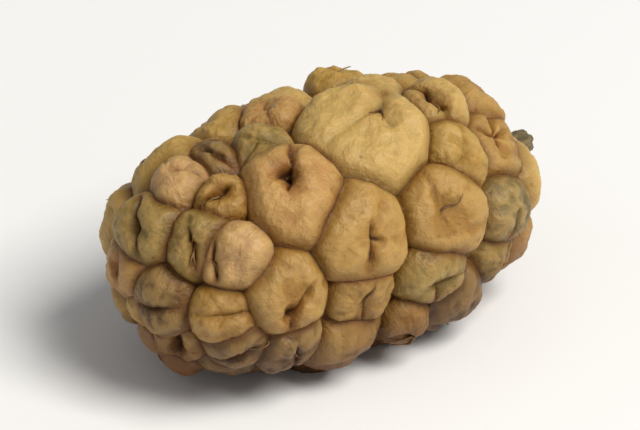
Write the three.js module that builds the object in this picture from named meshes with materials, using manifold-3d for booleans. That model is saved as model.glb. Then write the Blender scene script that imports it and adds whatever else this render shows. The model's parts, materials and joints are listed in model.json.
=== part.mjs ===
// A dried white mulberry: one grown fruit of fused drupelets on a short, snapped stalk.
// Millimetres, +Z up, lying on its side. The fruit's axis runs along X, with the stalk at +X,
// and the origin is the middle of its footprint on the surface that it lies on.

import * as THREE from "three";
import { mergeVertices } from "three/addons/utils/BufferGeometryUtils.js";
import Module from "manifold-3d";

const wasm = await Module();
wasm.setup();

// The fruit's own size, from its rounded tip to the shoulder round the stalk
const FRUIT_LENGTH = 17.6;
const FRUIT_WIDTH = 11.1;
const FRUIT_HEIGHT = 10.2;
const SHOULDER_SWELL = 0.05; // how much fatter the stalk end is, and slimmer the tip
const BLUNTNESS = 2.5; // 2 gives an egg's ends, more gives blunter ones
const AXIS_BEND = 0.35; // how far the middle of the fruit bows up off a straight axis

// The drupelets, which are the small juicy beads, dried
const HEAD_DEPTH = 1.55; // from a drupelet's widest ring out to its crown
const USUAL_WIDTH = 2.8; // the width of a drupelet with just this head
const ROOT_DEPTH = 1.3; // from the widest ring in to its root on the receptacle
const SPREAD = 1.14; // a drupelet's free width over the width that its neighbours leave it
const PRESSED_OVERLAP = 0.3; // how far two pressed drupelets have grown into each other
const PRESS_SOFTNESS = 0.14; // the rounding of the shoulder where two press together
const MOST_DENT = 0.5; // how far a shrunken crown has sunk in
const DENT_WIDTH = 0.55; // the dent's width over the drupelet's
const CROWN_LIFT = 0.3; // how unevenly the crowns stand, either way
const CROWN_ROUNDING = 0.92; // 1 gives a round crown, less gives a flatter one
const HEAD_PLUMPNESS = 0.25; // how far the head swells between its widest ring and crown
const ROOT_NARROWING = 0.45; // how much slimmer the root's end is
const LEAN = 0.16; // how far a drupelet may lean off the surface's normal, in radians
const BEAD_SIDES = 10;
const BEAD_ROWS = [0, 27, 51, 74, 98, 180]; // degrees from the crown to the root
const NEIGHBOUR_REACH = 5; // drupelets further apart than this don't press each other

// Which drupelets go where
const SEED = 20631;
const SWEEP_WIDTHS = [3.2, 2.8, 2.4, 2.0]; // the big ones find room first
const DARTS_PER_SWEEP = 700;
const CLOSEST = 0.86; // two centres may be this share of their mean width apart
const SETTLING_ROUNDS = 30;
const SETTLING_SHARE = 0.25; // the share of a lack of room that one round makes good
const LAST_ALONG = 0.995; // no drupelet's centre sits nearer to the very end
const STALK_CLEARING = 1.75; // no drupelet's centre lies this near the stalk's axis

// The receptacle, the soft core that carries the drupelets
const CORE_DEPTH = 1.05; // how far it lies under the drupelets' crowns

// The stalk
const STALK_RADIUS = 0.5;
const STALK_GAP = 0.3; // clear all round, so that the two solids stay apart
const STALK_ROOT_X = 6.6;
const STALK_BEND = [
  [STALK_ROOT_X, 0, 0],
  [7.9, 0.05, 0.0],
  [9.1, 0.35, -0.2],
  [10.1, 0.95, -0.6],
  [10.8, 1.7, -1.1],
];
const STALK_SIDES = 10;
const STALK_STEPS = 14;

// The foot: how much of the lowest drupelets is pressed flat
const FOOT_FLAT = 0.45;

// Drupelets of the side that shows best: place along the axis, degrees round it from the top
// towards -Y, width, and how far the crown stands out.
const SEEN = [
  [1.0, 17, 4.7, 0.25],
  [5.0, 14, 2.4, 0.2],
  [4.2, 45, 2.6, -0.05],
  [2.5, 70, 3.4, 0.15],
  [6.0, 80, 2.6, -0.05],
  [5.8, 113, 2.5, -0.2],
  [-1.1, 64, 3.7, 0.2],
  [-2.9, 31, 3.8, 0.25],
  [-6.4, 52, 2.5, 0.15],
  [-7.0, 84, 2.3, 0.05],
  [-4.6, 78, 3.1, 0.1],
  [-7.9, -15, 3.0, 0.15],
  [-6.0, -15, 2.2, 0.2],
  [-4.4, -9, 2.7, -0.2],
  [-2.9, 0, 2.6, -0.2],
  [-0.9, -26, 2.4, 0.1],
  [-7.2, 30, 2.6, -0.05],
  [1.8, 101, 2.8, 0],
  [-1.7, 97, 2.7, -0.15],
  [-8.75, 75, 2.8, 0],
  [-6.4, 114, 2.6, 0.05],
  [-4.2, 118, 2.8, 0],
];

const HALF = new THREE.Vector3(FRUIT_LENGTH, FRUIT_WIDTH, FRUIT_HEIGHT).multiplyScalar(0.5);

// Random numbers that come out the same on every run.
function makeDraw(seed) {
  let state = seed;
  return () => {
    state = (state * 16807) % 2147483647;
    return state / 2147483647;
  };
}

// A point of the fruit's outer form. along runs from -1 at the tip to 1 at the stalk,
// and around is the angle from the top towards -Y.
function skinPoint(along, around) {
  const rest = Math.max(0, 1 - Math.abs(along) ** BLUNTNESS);
  const ring = rest ** (1 / BLUNTNESS) * (1 + SHOULDER_SWELL * along);
  return new THREE.Vector3(
    HALF.x * along,
    -HALF.y * ring * Math.sin(around),
    HALF.z * ring * Math.cos(around) + AXIS_BEND * (0.5 - along * along),
  );
}

// The way out of the fruit at such a point.
function skinNormal(along, around) {
  const step = 1e-3;
  const inside = Math.min(1 - 2 * step, Math.max(-1 + 2 * step, along));
  const lengthways = skinPoint(inside + step, around).sub(skinPoint(inside - step, around));
  const roundwards = skinPoint(inside, around + step).sub(skinPoint(inside, around - step));
  return lengthways.cross(roundwards).negate().normalize();
}

// Where the drupelets sit: the ones seen first, then smaller and smaller ones where there is
// room, and at last all but the seen ones shift a little to share the space.
function seatDrupelets(draw) {
  const seats = SEEN.map(([x, degrees, width, lift]) => ({
    along: x / HALF.x,
    around: THREE.MathUtils.degToRad(degrees),
    width,
    lift,
    seen: true,
  }));
  for (const seat of seats) seat.skin = skinPoint(seat.along, seat.around);
  const free = (skin, width) =>
    seats.every((s) => s.skin.distanceTo(skin) > (CLOSEST * (s.width + width)) / 2);
  for (const sweepWidth of SWEEP_WIDTHS)
    for (let dart = 0; dart < DARTS_PER_SWEEP; dart++) {
      const along = 2 * draw() - 1;
      const around = 2 * Math.PI * draw();
      const width = sweepWidth * (0.92 + 0.16 * draw());
      const skin = skinPoint(along, around);
      if (clearOfStalk(skin) && free(skin, width))
        seats.push({ along, around, width, skin, seen: false });
    }
  for (let round = 0; round < SETTLING_ROUNDS; round++) settle(seats);
  return seats;
}

function clearOfStalk(skin) {
  return skin.x < 0 || Math.hypot(skin.y, skin.z) > STALK_CLEARING;
}

// One round of neighbours shouldering each other aside along the skin.
function settle(seats) {
  for (const seat of seats) {
    if (seat.seen) continue;
    const push = new THREE.Vector3();
    for (const other of seats) {
      if (other === seat) continue;
      const apart = seat.skin.clone().sub(other.skin);
      const lack = (seat.width + other.width) / 2 - apart.length();
      if (lack > 0) push.addScaledVector(apart.normalize(), lack * SETTLING_SHARE);
    }
    const moved = seat.skin.clone().add(push);
    const along = THREE.MathUtils.clamp(moved.x / HALF.x, -LAST_ALONG, LAST_ALONG);
    const lifted = moved.z - AXIS_BEND * (0.5 - along * along);
    const around = Math.atan2(-moved.y / HALF.y, lifted / HALF.z);
    const skin = skinPoint(along, around);
    if (clearOfStalk(skin)) Object.assign(seat, { along, around, skin });
  }
}

// Each seat's own frame and form, drawn from the same run of random numbers.
function shapeDrupelets(seats, draw) {
  return seats.map((seat) => {
    const out = skinNormal(seat.along, seat.around);
    const across = new THREE.Vector3(1, 0, 0).cross(out).normalize();
    out.addScaledVector(across, LEAN * (2 * draw() - 1)).normalize();
    const lengthways = across.clone().cross(out).normalize();
    out.addScaledVector(lengthways, LEAN * (2 * draw() - 1)).normalize();
    across.crossVectors(out, lengthways).normalize();
    lengthways.crossVectors(across, out);
    const head = HEAD_DEPTH * Math.sqrt(seat.width / USUAL_WIDTH);
    const lift = seat.seen ? seat.lift : CROWN_LIFT * (2 * draw() - 1);
    const centre = seat.skin.clone().addScaledVector(out, lift - head);
    return {
      ...seat,
      out,
      across,
      lengthways,
      head,
      centre,
      stretch: 0.92 + 0.16 * draw(),
      dent: MOST_DENT * draw() * draw(),
      turn: 2 * Math.PI * draw(),
    };
  });
}

// The planes where a drupelet meets its neighbours: a direction and how far out it lies.
function wallsOf(drupelet, all) {
  return all
    .filter((other) => other !== drupelet)
    .map((other) => {
      const way = other.centre.clone().sub(drupelet.centre);
      const reach = way.length();
      const share = drupelet.width / (drupelet.width + other.width);
      return { way: way.normalize(), reach, limit: reach * share + PRESSED_OVERLAP };
    })
    .filter((wall) => wall.reach < NEIGHBOUR_REACH);
}

// A drupelet: a rounded head on a narrowing root, its crown sunk in, pressed by its neighbours.
function drupeletGeometry(drupelet, walls) {
  const geometry = new THREE.SphereGeometry(1, BEAD_SIDES, BEAD_ROWS.length - 1);
  const position = geometry.getAttribute("position");
  const p = new THREE.Vector3();
  for (let i = 0; i < position.count; i++) {
    p.fromBufferAttribute(position, i);
    const row = Math.round((Math.acos(p.y) / Math.PI) * (BEAD_ROWS.length - 1));
    const tilt = THREE.MathUtils.degToRad(BEAD_ROWS[row]);
    const turn = Math.atan2(p.z, p.x) + drupelet.turn;
    const up = Math.cos(tilt);
    const ring = Math.sin(tilt);
    const outer = up > 0;
    const plump = outer ? 1 + HEAD_PLUMPNESS * up * (1 - up) : 1 + ROOT_NARROWING * up;
    const half = (drupelet.width / 2) * SPREAD * plump * ring ** CROWN_ROUNDING;
    const fromCrown = ring / DENT_WIDTH;
    const sunk = outer ? drupelet.dent * Math.exp(-fromCrown * fromCrown) : 0;
    const depth = up * (outer ? drupelet.head : ROOT_DEPTH) - sunk;
    const local = new THREE.Vector3()
      .addScaledVector(drupelet.lengthways, Math.cos(turn) * half * drupelet.stretch)
      .addScaledVector(drupelet.across, (-Math.sin(turn) * half) / drupelet.stretch)
      .addScaledVector(drupelet.out, depth);
    for (const wall of walls) {
      const past = (local.dot(wall.way) - wall.limit) / PRESS_SOFTNESS;
      const back = past > 30 ? past : Math.log1p(Math.exp(past));
      local.addScaledVector(wall.way, -back * PRESS_SOFTNESS);
    }
    local.add(drupelet.centre);
    position.setXYZ(i, local.x, local.y, local.z);
  }
  return geometry;
}

// A closed mesh's geometry as a solid that can be joined and cut.
function solidOf(geometry) {
  const bare = geometry.clone();
  bare.deleteAttribute("normal");
  bare.deleteAttribute("uv");
  const merged = mergeVertices(bare, 1e-4);
  return new wasm.Manifold(
    new wasm.Mesh({
      numProp: 3,
      vertProperties: merged.getAttribute("position").array,
      triVerts: new Uint32Array(merged.index.array),
    }),
  );
}

// A solid back as a geometry that a mesh can show.
function geometryOf(solid) {
  const mesh = solid.getMesh();
  const geometry = new THREE.BufferGeometry();
  geometry.setAttribute("position", new THREE.BufferAttribute(mesh.vertProperties, 3));
  geometry.setIndex(new THREE.BufferAttribute(mesh.triVerts, 1));
  geometry.computeVertexNormals();
  return geometry;
}

// The receptacle: the fruit's form again, an even depth under the crowns.
function coreSolid() {
  const sphere = new THREE.IcosahedronGeometry(1, 4);
  const position = sphere.getAttribute("position");
  for (let i = 0; i < position.count; i++) {
    const along = Math.min(1, Math.max(-1, position.getX(i)));
    const around = Math.atan2(-position.getY(i), position.getZ(i));
    const p = skinPoint(along, around).addScaledVector(skinNormal(along, around), -CORE_DEPTH);
    position.setXYZ(i, p.x, p.y, p.z);
  }
  return solidOf(sphere);
}

// The tube of the stalk along its bend, as thick as is asked for.
function stalkGeometry(radius, bend) {
  const path = new THREE.CatmullRomCurve3(bend.map(([x, y, z]) => new THREE.Vector3(x, y, z)));
  const section = new THREE.Shape();
  for (let side = 0; side < STALK_SIDES; side++) {
    const turn = (2 * Math.PI * side) / STALK_SIDES;
    const corner = [radius * Math.cos(turn), radius * Math.sin(turn)];
    if (side === 0) section.moveTo(...corner);
    else section.lineTo(...corner);
  }
  section.closePath();
  return new THREE.ExtrudeGeometry(section, { steps: STALK_STEPS, extrudePath: path });
}

// The clearing that the stalk stands in: the same tube, wider by the gap and started deeper.
function socketSolid() {
  const [root, ...rest] = STALK_BEND;
  const deeper = [[root[0] - STALK_GAP, root[1], root[2]], ...rest];
  return solidOf(stalkGeometry(STALK_RADIUS + STALK_GAP, deeper));
}

// The solid inside the outermost skin, so that no hollow is sealed in between the roots.
function outerBody(solid) {
  return solid.decompose().reduce((most, body) => (body.volume() > most.volume() ? body : most));
}

function fruitSolid() {
  const draw = makeDraw(SEED);
  const drupelets = shapeDrupelets(seatDrupelets(draw), draw);
  let fruit = coreSolid();
  for (const drupelet of drupelets)
    fruit = fruit.add(solidOf(drupeletGeometry(drupelet, wallsOf(drupelet, drupelets))));
  fruit = outerBody(fruit).subtract(socketSolid());
  const lowest = fruit.boundingBox().min[2];
  const floor = new THREE.BoxGeometry(2 * FRUIT_LENGTH, 2 * FRUIT_WIDTH, FRUIT_HEIGHT);
  floor.translate(0, 0, lowest + FOOT_FLAT - FRUIT_HEIGHT / 2);
  return fruit.subtract(solidOf(floor));
}

const fleshFinish = new THREE.MeshStandardMaterial({
  color: 0xc2a067,
  roughness: 0.62,
  metalness: 0,
});
const stalkFinish = new THREE.MeshStandardMaterial({
  color: 0x6f5f38,
  roughness: 0.8,
  metalness: 0,
});

const fruit = new THREE.Mesh(geometryOf(fruitSolid()), fleshFinish);
fruit.name = "fruit";
const stalk = new THREE.Mesh(stalkGeometry(STALK_RADIUS, STALK_BEND), stalkFinish);
stalk.name = "stalk";

const mulberry = new THREE.Group();
mulberry.name = "dried_mulberry";
mulberry.add(fruit, stalk);

// The middle of the footprint goes to the origin.
const bounds = new THREE.Box3().setFromObject(mulberry);
const middle = bounds.getCenter(new THREE.Vector3());
mulberry.position.set(-middle.x, -middle.y, -bounds.min.z);

export default mulberry;
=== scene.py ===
# %% [markdown]
# A dried white mulberry, about 18 mm long, lying on its side.
#
# A mulberry isn't one berry but a crowd of them. Sixty or more small drupelets sit on one soft
# core, and while they grow they press against each other until each is a rounded polygon.
# Drying shrinks them: crowns sink, the skin folds, and each drupelet shows the seam where the
# four tepals that wrap it meet. What makes the fruit believable is therefore a rule, not a
# sculpt: where the drupelets sit, how they press on each other, and how each one dries.
#
# The imported model is the frame that all of this is built on, and it is loaded first.

# %% The imported model
import json
import math
import random

import bmesh
import bpy
import numpy as np
from mathutils import Matrix, Vector
from mathutils.bvhtree import BVHTree
from mathutils.kdtree import KDTree

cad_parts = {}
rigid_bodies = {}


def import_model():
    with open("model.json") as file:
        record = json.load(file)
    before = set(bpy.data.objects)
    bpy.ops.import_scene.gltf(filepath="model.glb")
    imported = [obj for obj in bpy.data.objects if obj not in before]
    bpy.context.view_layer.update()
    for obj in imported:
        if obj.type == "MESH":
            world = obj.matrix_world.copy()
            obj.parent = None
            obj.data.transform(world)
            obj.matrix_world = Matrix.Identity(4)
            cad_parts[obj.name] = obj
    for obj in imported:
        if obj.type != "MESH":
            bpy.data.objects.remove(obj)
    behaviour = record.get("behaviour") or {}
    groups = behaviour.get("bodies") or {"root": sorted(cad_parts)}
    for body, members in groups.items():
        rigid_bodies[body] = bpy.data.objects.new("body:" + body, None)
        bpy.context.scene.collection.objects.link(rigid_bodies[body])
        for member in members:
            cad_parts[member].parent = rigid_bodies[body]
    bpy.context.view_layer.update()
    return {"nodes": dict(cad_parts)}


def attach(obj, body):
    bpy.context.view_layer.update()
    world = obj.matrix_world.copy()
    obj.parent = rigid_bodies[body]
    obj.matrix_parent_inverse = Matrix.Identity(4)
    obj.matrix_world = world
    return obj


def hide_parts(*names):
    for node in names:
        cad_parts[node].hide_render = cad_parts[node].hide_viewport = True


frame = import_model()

MM = 0.001

# %% [markdown]
# The fruit's form. Its skin is an egg shape that can be written down in one line: a place along
# the axis and an angle round it give a point. The solid is built from the same line, so the
# drupelets made here land where the solid has them. The lengths below are in millimetres, and
# the sums are done in millimetres too: noise sizes and wrinkle depths read more easily that way,
# and the meshes are brought to metres at the end.

# %% The fruit's form
FRUIT_LENGTH = 17.6
FRUIT_WIDTH = 11.1
FRUIT_HEIGHT = 10.2
SHOULDER_SWELL = 0.05
BLUNTNESS = 2.5
AXIS_BEND = 0.35
BEND_MIDDLE = 0.5
HALF = np.array([FRUIT_LENGTH, FRUIT_WIDTH, FRUIT_HEIGHT]) / 2


def skin_point(along, around):
    """A point of the outer form: along runs from -1 at the tip to 1, around from the top."""
    rest = max(0.0, 1 - abs(along) ** BLUNTNESS)
    ring = rest ** (1 / BLUNTNESS) * (1 + SHOULDER_SWELL * along)
    return np.array([
        HALF[0] * along,
        -HALF[1] * ring * math.sin(around),
        HALF[2] * ring * math.cos(around) + AXIS_BEND * (BEND_MIDDLE - along * along),
    ])


def unit(vector):
    return vector / np.linalg.norm(vector)


def skin_normal(along, around, step=1e-3):
    """The way out of the fruit there."""
    inside = min(1 - 2 * step, max(-1 + 2 * step, along))
    lengthways = skin_point(inside + step, around) - skin_point(inside - step, around)
    roundwards = skin_point(inside, around + step) - skin_point(inside, around - step)
    return unit(-np.cross(lengthways, roundwards))


print("skin at the top of the middle, mm", skin_point(0, 0).round(2))

# %% [markdown]
# Where the drupelets sit. The ones that the camera sees are named one by one, with their place,
# their width, how far they stand out, their colour and the creases in their crown. The rest find
# room by throwing darts at the skin, big ones first, and then shoulder each other aside a little.
# The random numbers come from a small generator of our own, because the solid was made with the
# same one: with the same seed both get the same fruit.

# %% The drupelets that show, named
def seen(x, degrees, width, lift, colour, arms, apex=(0.0, 0.0), pit=0.0, slit=1.0, lobes=0.7):
    """A drupelet by its place along the axis in mm and round it in degrees, from the top to -Y.

    arms are its creases, each a direction in degrees, where 0 points at the fruit's tip and 90
    down its side, and a reach in shares of half the width: past 1 the crease runs out over the
    edge and parts the crown into lobes. They start at the apex, in shares of the width off the
    middle. pit is how deep the hole is that its style left there, in mm, slit how wide its
    creases gape, and lobes how deep they part the crown.
    """
    return {
        "x": x, "degrees": degrees, "width": width, "lift": lift, "colour": colour,
        "arms": arms, "apex": apex, "pit": pit, "slit": slit, "lobes": lobes,
    }


SEEN = [
    seen(1.0, 17, 4.7, 0.25, "cream", [(8, 1.3), (80, 0.6), (225, 0.7)],
         apex=(-0.2, -0.1), pit=0.15, slit=0.2, lobes=0.65),
    seen(5.0, 14, 2.4, 0.2, "cream", [(100, 1.0), (280, 1.1)],
         apex=(0.24, -0.05), pit=0.45, slit=2.2, lobes=1.7),
    seen(4.2, 45, 2.6, -0.05, "straw", [(250, 1.0), (20, 0.5)], slit=0.4),
    seen(2.5, 70, 3.4, 0.15, "tan", [(275, 0.9), (80, 0.5)],
         apex=(0.12, -0.15), slit=0.2, lobes=0.35),
    # This drupelet's dark moss colour is painted shade at the fruit's right end.
    seen(6.0, 80, 2.6, -0.05, "moss", [(76, 1.2)], slit=0.5),
    seen(5.8, 113, 2.5, -0.2, "olive", [(45, 1.2), (225, 0.8)]),
    seen(-1.1, 64, 3.7, 0.2, "tan", [(74, 0.8), (162, 0.3), (254, 0.5)],
         apex=(0.02, 0.02), slit=1.0, lobes=0.45),
    seen(-2.9, 31, 3.8, 0.25, "rose", [(232, 1.3), (60, 0.55), (345, 0.4)],
         apex=(0.03, -0.15), pit=0.5, slit=1.3, lobes=0.8),
    seen(-6.4, 52, 2.5, 0.15, "blush", [(68, 0.9), (248, 0.9)], apex=(0.26, -0.1), pit=0.1),
    seen(-7.0, 84, 2.3, 0.05, "tan", [(0, 0.8), (180, 1.2)], apex=(0.0, -0.1), slit=0.5),
    seen(-4.6, 78, 3.1, 0.1, "tan", [(222, 1.1), (100, 0.8)],
         apex=(0.04, 0.24), pit=0.45, slit=0.8, lobes=0.5),
    seen(-7.9, -15, 3.0, 0.15, "olive", [(28, 0.9), (208, 1.0)], pit=0.25, slit=1.2),
    seen(-6.0, -15, 2.2, 0.2, "blush", [(120, 1.2)], slit=0.4),
    seen(-4.4, -9, 2.7, -0.2, "umber", [(100, 1.2), (280, 0.6)], slit=0.8),
    seen(-2.9, 0, 2.6, -0.2, "olive", [(20, 1.2), (140, 0.7)], slit=0.5),
    seen(-0.9, -26, 2.4, 0.1, "rose", [(60, 1.2), (240, 0.6)], slit=0.5),
    seen(-7.2, 30, 2.6, -0.05, "olive", [(54, 1.2), (250, 0.6)]),
    seen(1.8, 101, 2.8, 0, "olive", [(90, 1.2), (200, 0.6), (330, 0.5)], pit=0.1, slit=0.7),
    seen(-1.7, 97, 2.7, -0.15, "tan", [(98, 1.2), (250, 0.7)], slit=0.6),
    # These three low drupelets are umber as painted shade on the fruit's lower side.
    seen(-8.75, 75, 2.8, 0, "umber", [(0, 0.8), (180, 1.2)], slit=0.6),
    seen(-6.4, 114, 2.6, 0.05, "umber", [(40, 1.2), (220, 0.6)]),
    seen(-4.2, 118, 2.8, 0, "umber", [(100, 1.2), (280, 0.6)]),
]
print(len(SEEN), "drupelets placed by hand")

# %% The rest find room
SEED = 20631
MULTIPLIER, MODULUS = 16807, 2147483647
SWEEP_WIDTHS = (3.2, 2.8, 2.4, 2.0)
DARTS_PER_SWEEP = 700
LEAST_WIDTH, WIDTH_SPREAD = 0.92, 0.16
CLOSEST = 0.86
STALK_CLEARING = 1.75


def make_draw(seed):
    """Random numbers from 0 to 1 that come out the same on every run and in every language."""
    state = seed

    def draw():
        nonlocal state
        state = state * MULTIPLIER % MODULUS
        return state / MODULUS

    return draw


def clear_of_stalk(skin):
    return skin[0] < 0 or math.hypot(skin[1], skin[2]) > STALK_CLEARING


def has_room(skin, width, seats):
    return all(
        np.linalg.norm(s["skin"] - skin) > CLOSEST * (s["width"] + width) / 2 for s in seats
    )


def seat_drupelets(draw):
    seats = [
        {"along": s["x"] / HALF[0], "around": math.radians(s["degrees"]), "width": s["width"],
         "seen": s}
        for s in SEEN
    ]
    for seat in seats:
        seat["skin"] = skin_point(seat["along"], seat["around"])
    for sweep_width in SWEEP_WIDTHS:
        for _ in range(DARTS_PER_SWEEP):
            along = 2 * draw() - 1
            around = 2 * math.pi * draw()
            width = sweep_width * (LEAST_WIDTH + WIDTH_SPREAD * draw())
            skin = skin_point(along, around)
            if clear_of_stalk(skin) and has_room(skin, width, seats):
                seats.append({
                    "along": along, "around": around, "width": width, "skin": skin, "seen": None,
                })
    return seats


draw = make_draw(SEED)
seats = seat_drupelets(draw)
print(len(seats), "drupelets in all")

# %% Neighbours share the space
SETTLING_ROUNDS = 30
SETTLING_SHARE = 0.25
LAST_ALONG = 0.995


def settle(seats):
    """One round of neighbours shouldering each other aside along the skin."""
    for seat in seats:
        if seat["seen"]:
            continue
        push = np.zeros(3)
        for other in seats:
            if other is seat:
                continue
            apart = seat["skin"] - other["skin"]
            distance = np.linalg.norm(apart)
            lack = (seat["width"] + other["width"]) / 2 - distance
            if lack > 0:
                push += apart / distance * lack * SETTLING_SHARE
        moved = seat["skin"] + push
        along = min(LAST_ALONG, max(-LAST_ALONG, moved[0] / HALF[0]))
        lifted = moved[2] - AXIS_BEND * (BEND_MIDDLE - along * along)
        around = math.atan2(-moved[1] / HALF[1], lifted / HALF[2])
        skin = skin_point(along, around)
        if clear_of_stalk(skin):
            seat.update(along=along, around=around, skin=skin)


for _ in range(SETTLING_ROUNDS):
    settle(seats)
print("settled in", SETTLING_ROUNDS, "rounds")

# %% Each drupelet's own frame and form
HEAD_DEPTH = 1.55
USUAL_WIDTH = 2.8
MOST_DENT = 0.5
CROWN_LIFT = 0.3
LEAN = 0.16
LEAST_STRETCH, STRETCH_SPREAD = 0.92, 0.16


def shape_drupelet(seat, draw):
    out = skin_normal(seat["along"], seat["around"])
    across = unit(np.cross([1.0, 0.0, 0.0], out))
    out = unit(out + across * LEAN * (2 * draw() - 1))
    lengthways = unit(np.cross(across, out))
    out = unit(out + lengthways * LEAN * (2 * draw() - 1))
    across = unit(np.cross(out, lengthways))
    lengthways = np.cross(across, out)
    head = HEAD_DEPTH * math.sqrt(seat["width"] / USUAL_WIDTH)
    lift = seat["seen"]["lift"] if seat["seen"] else CROWN_LIFT * (2 * draw() - 1)
    seat.update(
        out=out, across=across, lengthways=lengthways, head=head,
        centre=seat["skin"] + out * (lift - head),
        stretch=LEAST_STRETCH + STRETCH_SPREAD * draw(),
        dent=MOST_DENT * draw() * draw(),
        turn=2 * math.pi * draw(),
    )


for seat in seats:
    shape_drupelet(seat, draw)
print("widths from", min(s["width"] for s in seats), "to", max(s["width"] for s in seats), "mm")

# %% Where the solid stands in the frame
# The solid was moved so that its footprint is centred on the origin. Its stalk starts with a
# flat ring whose middle is a known point, so that ring tells how far everything was moved.
STALK_BEND = [
    (6.6, 0, 0), (7.9, 0.05, 0), (9.1, 0.35, -0.2), (10.1, 0.95, -0.6), (10.8, 1.7, -1.1),
]
RING_DEPTH = 0.1
stalk_corners = np.array([v.co for v in frame["nodes"]["stalk"].data.vertices]) / MM
root_ring = stalk_corners[stalk_corners[:, 0] < stalk_corners[:, 0].min() + RING_DEPTH]
root_ring = np.unique(root_ring.round(3), axis=0)
SHIFT = root_ring.mean(axis=0) - np.array(STALK_BEND[0])
for seat in seats:
    seat["centre"] = seat["centre"] + SHIFT
print("the solid was moved by, mm", SHIFT.round(3), "corners in its root ring", len(root_ring))

# %% [markdown]
# Colours and creases. Dried mulberries are never one colour: a cream one sits beside a pinkish
# or an olive one. Those low on the fruit are drawn darker, and that is painted shade. The
# palette was matched in the usual screen values. The hidden drupelets draw theirs, with up to
# four creases that start near the crown, where the four tepals that wrap a drupelet meet.
# Python's own generator does for this, because the solid doesn't need these draws.

# %% Palette
PALETTE = {
    "cream": (190, 157, 89),
    "straw": (170, 134, 60),
    "tan": (156, 115, 48),
    "rose": (174, 129, 72),
    "blush": (192, 152, 101),
    "olive": (124, 102, 42),
    # moss, a darker olive, is painted shade on one drupelet
    "moss": (98, 84, 44),
    # umber goes mostly to drupelets low on the fruit, as painted shade
    "umber": (92, 62, 24),
}
HIGH_CHOICE = ["cream"] * 3 + ["straw"] * 4 + ["tan"] * 4 + ["rose"] * 3 + ["olive"] * 2
# Drupelets low on the fruit draw from darker colours: painted shade on the lower side.
SHADED_LOW_CHOICE = ["straw"] + ["tan"] * 3 + ["rose"] + ["olive"] * 3 + ["umber"] * 4


def linear(screen_value):
    share = screen_value / 255
    return share / 12.92 if share <= 0.04045 else ((share + 0.055) / 1.055) ** 2.4


def scene_colour(screen_rgb):
    return tuple(linear(v) for v in screen_rgb)


print(len(PALETTE), "drupelet colours")

# %% Each drupelet's looks
MOST_ARMS = 4
LOW_END = 3.6
LEAST_STAIN = 0.3
STAIN_PER_PIT = 1.4
ARM_SWAY = 25
FIRST_REACH = 1.25
OTHER_REACH = (0.4, 0.8)
ARM_COUNTS = (1, 2, 2, 3, 3, 4)
APEX_STRAY = 0.16
MOST_PIT = 0.5
SLITS = (0.2, 1.5)
LEAST_LOBES, LOBES_PER_SLIT = 0.45, 0.35
TINTS = (0.93, 1.07)
LOOKS_SEED = 7
looks = random.Random(LOOKS_SEED)


def drawn_arm(direction, is_first):
    """One crease; the first runs out over the edge of the crown, and the others stop before it."""
    turned = direction + looks.uniform(-ARM_SWAY, ARM_SWAY)
    return turned, FIRST_REACH if is_first else looks.uniform(*OTHER_REACH)


def drawn_look(seat):
    """The looks of a drupelet that doesn't show, in the same terms as one that does."""
    # A low drupelet draws a darker colour, which is painted shade.
    low = seat["centre"][2] < LOW_END
    start = looks.uniform(0, 360)
    count = looks.choice(ARM_COUNTS)
    look = {
        "colour": looks.choice(SHADED_LOW_CHOICE if low else HIGH_CHOICE),
        "arms": [drawn_arm(start + 360 / count * arm, is_first=arm == 0) for arm in range(count)],
        "apex": [looks.uniform(-APEX_STRAY, APEX_STRAY) for _ in range(2)],
        "pit": MOST_PIT * looks.random() ** 2,
        "slit": looks.uniform(*SLITS),
    }
    look["lobes"] = LEAST_LOBES + LOBES_PER_SLIT * look["slit"]
    return look


for seat in seats:
    drawn = drawn_look(seat)
    look = seat["seen"] or drawn
    tint = looks.uniform(*TINTS)
    seat["colour"] = tuple(min(1, c * tint) for c in scene_colour(PALETTE[look["colour"]]))
    seat["arms"] = [math.radians(direction) for direction, _ in look["arms"]]
    seat["reach"] = [reach * seat["width"] / 2 for _, reach in look["arms"]]
    seat["apex"] = [share * seat["width"] for share in look["apex"]]
    seat["pit"] = look["pit"] * min(1, seat["width"] / USUAL_WIDTH)
    seat["slit"] = look["slit"]
    seat["lobes"] = look["lobes"]
    seat["stain"] = min(1, LEAST_STAIN + STAIN_PER_PIT * look["pit"])
print("creases in all:", sum(len(s["arms"]) for s in seats))

# %% [markdown]
# Sums as nodes. The drupelets are made with Geometry Nodes, and most of such a tree is
# arithmetic. Wiring each plus and times by hand hides the thought, so the first cell wraps a
# node's output in a class that Python can add and multiply: each sum makes the math node that
# works it out. The other two hold what trees need besides. All of it serves the materials too.

# %% Sums as nodes
VECTOR_TO_NUMBER = {"DOT_PRODUCT", "LENGTH", "DISTANCE"}


class Value:
    """A node's output that can stand in a sum."""

    def __init__(self, socket):
        self.socket = socket
        self.tree = socket.id_data
        self.is_vector = socket.type == "VECTOR"

    def __add__(self, other):
        return worked("ADD", self, other)

    def __radd__(self, other):
        return worked("ADD", other, self)

    def __sub__(self, other):
        return worked("SUBTRACT", self, other)

    def __rsub__(self, other):
        return worked("SUBTRACT", other, self)

    def __mul__(self, other):
        return worked("MULTIPLY", self, other)

    def __rmul__(self, other):
        return worked("MULTIPLY", other, self)

    def __truediv__(self, other):
        return worked("DIVIDE", self, other)

    def __rtruediv__(self, other):
        return worked("DIVIDE", other, self)

    def __pow__(self, other):
        return worked("POWER", self, other)

    def __gt__(self, other):
        return worked("GREATER_THAN", self, other)

    def __lt__(self, other):
        return worked("LESS_THAN", self, other)


def feed(socket, value):
    """Gives an input a link or a plain value."""
    if isinstance(value, Value):
        value.tree.links.new(value.socket, socket)
    else:
        socket.default_value = value


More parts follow.
